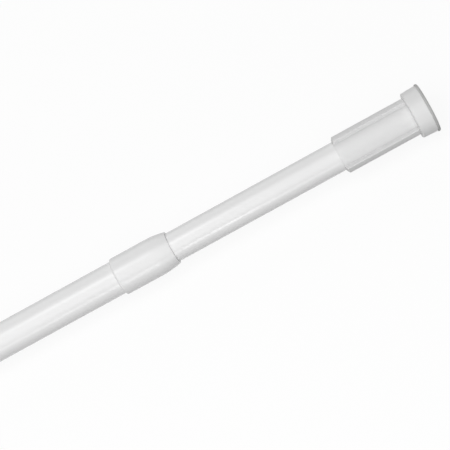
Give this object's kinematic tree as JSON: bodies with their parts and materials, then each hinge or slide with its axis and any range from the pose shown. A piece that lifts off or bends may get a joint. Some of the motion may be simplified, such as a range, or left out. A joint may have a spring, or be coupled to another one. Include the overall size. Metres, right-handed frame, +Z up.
{
  "type": "spring tension rod",
  "caption": "White telescoping spring tension rod with a junction collar, ribbed end holders and round rubber feet, with a twist lock and a compression spring inside.",
  "frame": {"origin": "centre of the outer foot's wall face", "axes": "+X along the rod towards the foot on the thin tube, +Z up; one grip rib of each holder faces -Y"},
  "size_m": [0.6, 0.0366, 0.0366],
  "materials": {
    "tube_coat": "glossy white powder coat on steel tube",
    "collar_plastic": "white moulded plastic, glossy",
    "holder_plastic": "white moulded plastic, satin",
    "foot_rubber": "grey soft rubber, matte",
    "lock_plastic": "natural acetal",
    "bump_rubber": "black rubber",
    "plated_steel": "zinc plated steel"
  },
  "bodies": {
    "outer_half": {"outer_tube": "tube_coat", "junction_collar": "collar_plastic", "outer_end_holder": "holder_plastic", "outer_foot": "foot_rubber"},
    "friction_ring": {"lock_ring": "lock_plastic"},
    "plunger": {"lock_cam": "lock_plastic", "cam_pin": "plated_steel", "plunger_rod": "plated_steel", "bump_washer": "bump_rubber", "plunger_head": "lock_plastic", "head_nut": "plated_steel", "head_thrust_washer": "plated_steel", "tension_spring": "plated_steel"},
    "inner_half": {"inner_tube": "tube_coat", "guide_bush": "lock_plastic", "spring_stop": "lock_plastic", "stop_thrust_washer": "plated_steel", "inner_end_holder": "holder_plastic", "inner_foot": "foot_rubber"}
  },
  "joints": [
    {"name": "length_adjust", "type": "slide", "parent": "outer_half", "child": "friction_ring", "axis": [1, 0, 0], "range_m": [-0.1, 0.1]},
    {"name": "twist_lock", "type": "hinge", "parent": "friction_ring", "child": "plunger", "pos_m": [0.1514, 0, 0], "axis": [1, 0, 0], "range_deg": [-40, 40]},
    {"name": "spring_travel", "type": "slide", "parent": "plunger", "child": "inner_half", "axis": [1, 0, 0], "range_m": [-0.02, 0], "stiffness_N_per_m": 4900, "springref_m": 0.008, "deforming": ["tension_spring"]}
  ]
}
